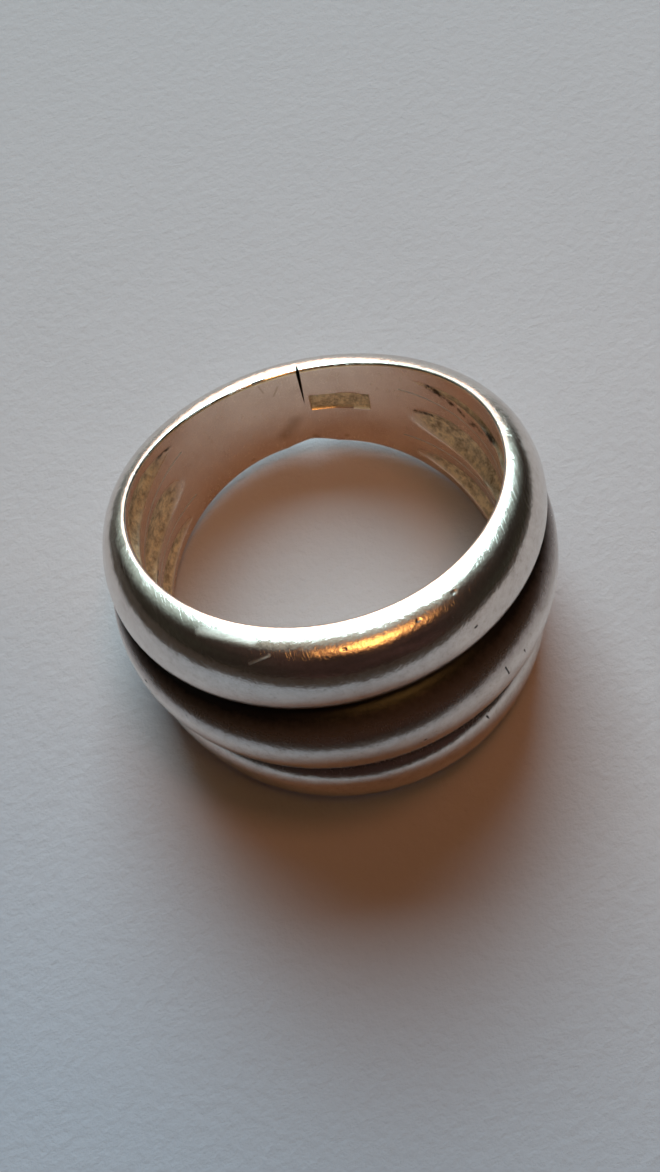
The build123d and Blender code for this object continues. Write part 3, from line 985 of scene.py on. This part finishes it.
class RING_OT_stage(bpy.types.Operator):
    """Lays the paper, sets the camera, colours the room and hangs the lamps"""

    bl_idname = "ring.stage"
    bl_label = "Paper, lamps and camera"

    def execute(self, context):
        stage = context.scene.ring_stage
        self.lay_paper(context, stage)
        self.set_camera(context, stage)
        self.set_room(context)
        for name, lamp in LAMPS.items():
            self.hang_lamp(context, name, lamp)
        context.scene.view_settings.view_transform = "Standard"
        return {"FINISHED"}

    def lay_paper(self, context, stage):
        """The sheet ends a little in front of the ring and to its left, on a dark table."""
        sheet = (stage.sheet_left, stage.sheet_right, stage.sheet_front)
        self.lay_sheet(context, stage, paper_material(stage), sheet)
        self.lay_sheet(context, stage, table_material(stage), (TABLE_REACH,) * 3, drop=TABLE_DROP)

    def lay_sheet(self, context, stage, finish, reach, drop=0.0):
        """A flat sheet under the ring, sloped in the ring's own frame and turned a little."""
        left, right, front = reach
        rest = Vector((0.0, -stage.rest_front, -stage.rest_below))
        lie = Matrix.Rotation(stage.tilt, 3, "X") @ Matrix.Rotation(-stage.sheet_turn, 3, "Z")
        corners = [(-left, -front), (right, -front), (right, TABLE_REACH), (-left, TABLE_REACH)]
        mesh = bpy.data.meshes.new(finish.name)
        mesh.from_pydata([rest + lie @ Vector((x, y, -drop)) for x, y in corners], [], [(0, 1, 2, 3)])
        mesh.materials.append(finish)
        sheet = bpy.data.objects.new(finish.name, mesh)
        context.scene.collection.objects.link(sheet)

    def set_camera(self, context, stage):
        """The camera looks at the ring from above its front, a little turned and off centre."""
        lens = bpy.data.cameras.new("camera")
        lens.lens = stage.lens
        lens.clip_start = CAMERA_CLIP
        camera = bpy.data.objects.new("camera", lens)
        context.scene.collection.objects.link(camera)
        look = Matrix.Rotation(stage.azimuth, 4, "Z")
        look = look @ Matrix.Rotation(radians(90) - stage.elevation, 4, "X")
        aim = Vector((-math.tan(stage.aim_side), math.tan(stage.aim_up), -1.0))
        off_centre = aim.rotation_difference(Vector((0.0, 0.0, -1.0))).to_matrix().to_4x4()
        stand = Matrix.Translation(direction(stage.azimuth, stage.elevation) * stage.distance)
        camera.matrix_world = stand @ look @ Matrix.Rotation(stage.roll, 4, "Z") @ off_centre
        context.scene.camera = camera

    def hang_lamp(self, context, name, lamp):
        """One lamp that faces the ring."""
        light = bpy.data.lights.new(name, "AREA")
        light.shape = "RECTANGLE"
        light.size = lamp.width
        light.size_y = lamp.height
        light.color = lamp.colour
        light.energy = lamp.radiance * math.pi * lamp.width * lamp.height
        holder = bpy.data.objects.new(name, light)
        away = direction(radians(lamp.azimuth), radians(lamp.elevation))
        holder.location = away * lamp.distance
        holder.rotation_mode = "QUATERNION"
        holder.rotation_quaternion = (-away).to_track_quat("-Z", "Y")
        holder.visible_glossy = lamp.mirrored
        context.scene.collection.objects.link(holder)

    def set_room(self, context):
        """A dark, patchy room, with glows that the silver mirrors and that cast no light on the paper."""
        world = bpy.data.worlds.new("room")
        context.scene.world = world
        world.use_nodes = True
        world.node_tree.nodes.clear()
        nodes = Nodes(world.node_tree)
        away = nodes.field("ShaderNodeTexCoord", None, None, output="Generated")
        x, y, z = nodes.parts(away)
        colour = nodes.colours(nodes.ramp(abs(x), 0.45, 0.9), ROOM_ENDS, ROOM_SIDES)
        patches = nodes.ramp(nodes.noise(away, 3.0, detail=3.0, roughness=0.6), -0.2, 0.2)
        colour = nodes.colours(patches, ROOM_PATCHES, colour)
        to_window = towards(nodes, away, 181, 50)
        to_lamp = towards(nodes, away, 14, 69)
        glows = (
            (nodes.ramp(to_window, 0.58, 0.97) ** 2.2, WINDOW_GLOW),
            (nodes.ramp(z, 0.85, 0.97, smooth=True) * nodes.ramp(y, -0.1, 0.2), CEILING),
            (nodes.ramp(to_lamp, 0.93, 0.992, smooth=True), LAMP_HALO),
            (nodes.ramp(to_lamp, 0.984, 0.996, smooth=True), LAMP_GLINT),
        )
        mirrored = 1 - nodes.field("ShaderNodeLightPath", None, None, output="Is Diffuse Ray")
        for share, tone in glows:
            colour = nodes.colours(share * mirrored, colour, tone)
        shade = nodes.field("ShaderNodeBackground", None, {"Color": colour})
        nodes.make("ShaderNodeOutputWorld", None, {"Surface": shade})


class RING_OT_ribs(bpy.types.Operator):
    """Builds the three ribs and the solder between them"""

    bl_idname = "ring.ribs"
    bl_label = "Ribs"

    def execute(self, context):
        sizes = context.scene.ring_sizes
        silver = bpy.data.materials["worn_silver"]
        end = sizes.shoulder - half_film(sizes, sizes.shoulder_film)
        outer = wrapped_tree("Outer rib", outer_rib_section)
        middle = wrapped_tree("Middle rib", middle_rib_section)
        strip = wrapped_tree("Rib solder", strip_section)
        for name, side in (("top_rib", 1.0), ("bottom_rib", -1.0)):
            make_wrapped(context, name, outer, silver, RIB_STEPS, -end, end, side)
        make_wrapped(context, "middle_rib", middle, silver, RIB_STEPS, -end, end)
        solder = bpy.data.materials["silver_solder"]
        for name, side in (("upper_rib_solder", 1.0), ("lower_rib_solder", -1.0)):
            piece = make_wrapped(context, name, strip, solder, RIB_SOLDER_STEPS, -end, end, side)
        return {"FINISHED"}


class RING_OT_shank(bpy.types.Operator):
    """Builds the two arms of the shank and the solder at their ends"""

    bl_idname = "ring.shank"
    bl_label = "Shank"

    def execute(self, context):
        sizes = context.scene.ring_sizes
        silver = bpy.data.materials["worn_silver"]
        film = half_film(sizes, sizes.shoulder_film)
        start, end = sizes.shoulder - film, sizes.shoulder + film
        back = sizes.seam - radians(360)
        shank = wrapped_tree("Shank", shank_section)
        seam = wrapped_tree("Seam solder", seam_section)
        right = (shank, silver, RIGHT_ARM_STEPS, end, sizes.seam)
        make_wrapped(context, "right_arm", *right, at_seam=(0.0, 1.0))
        left = (shank, silver, LEFT_ARM_STEPS, back, -end)
        make_wrapped(context, "left_arm", *left, at_seam=(1.0, 0.0))
        shoulders = {"right_shoulder_solder": (start, end), "left_shoulder_solder": (-end, -start)}
        for name, ends in shoulders.items():
            piece = make_wrapped(context, name, shank, silver, SHOULDER_SOLDER_STEPS, *ends)
        film = half_film(sizes, sizes.seam_film)
        ends = (sizes.seam - film, sizes.seam + film)
        piece = make_wrapped(context, "seam_solder", seam, silver, SEAM_SOLDER_STEPS, *ends)
        return {"FINISHED"}


class RING_OT_finishes(bpy.types.Operator):
    """Makes the silver and the solder"""

    bl_idname = "ring.finishes"
    bl_label = "Finishes"

    def execute(self, context):
        finish = context.scene.ring_finish
        silver_material(finish)
        solder_material(finish)
        dirt_and_shade_material(finish)
        return {"FINISHED"}


class RING_PT_panel(bpy.types.Panel):
    """Sizes, finishes and steps of the ring"""

    bl_idname = "RING_PT_panel"
    bl_label = "Ribbed silver ring"
    bl_space_type = "VIEW_3D"
    bl_region_type = "UI"
    bl_category = "Ring"

    def draw(self, context):
        for group in (context.scene.ring_sizes, context.scene.ring_finish, context.scene.ring_stage):
            box = self.layout.box()
            for key in type(group).__annotations__:
                box.prop(group, key)
        for step in STEPS:
            self.layout.operator(step.bl_idname)


GROUPS = {"ring_sizes": RingSizes, "ring_finish": RingFinish, "ring_stage": RingStage}
STEPS = (RING_OT_finishes, RING_OT_stage, RING_OT_ribs, RING_OT_shank)


def register():
    """Makes the sizes, the steps and the panel known."""
    for name, group in GROUPS.items():
        bpy.utils.register_class(group)
        setattr(bpy.types.Scene, name, PointerProperty(type=group))
    for part in (*STEPS, RING_PT_panel):
        bpy.utils.register_class(part)


def unregister():
    """Takes them away again."""
    for part in reversed((*STEPS, RING_PT_panel)):
        bpy.utils.unregister_class(part)
    for name, group in GROUPS.items():
        delattr(bpy.types.Scene, name)
        bpy.utils.unregister_class(group)


def main():
    """Builds the finishes, the stage and the ring."""
    register()
    bpy.ops.ring.finishes()
    bpy.ops.ring.stage()
    bpy.ops.ring.ribs()
    bpy.ops.ring.shank()


if __name__ == "__main__":
    main()
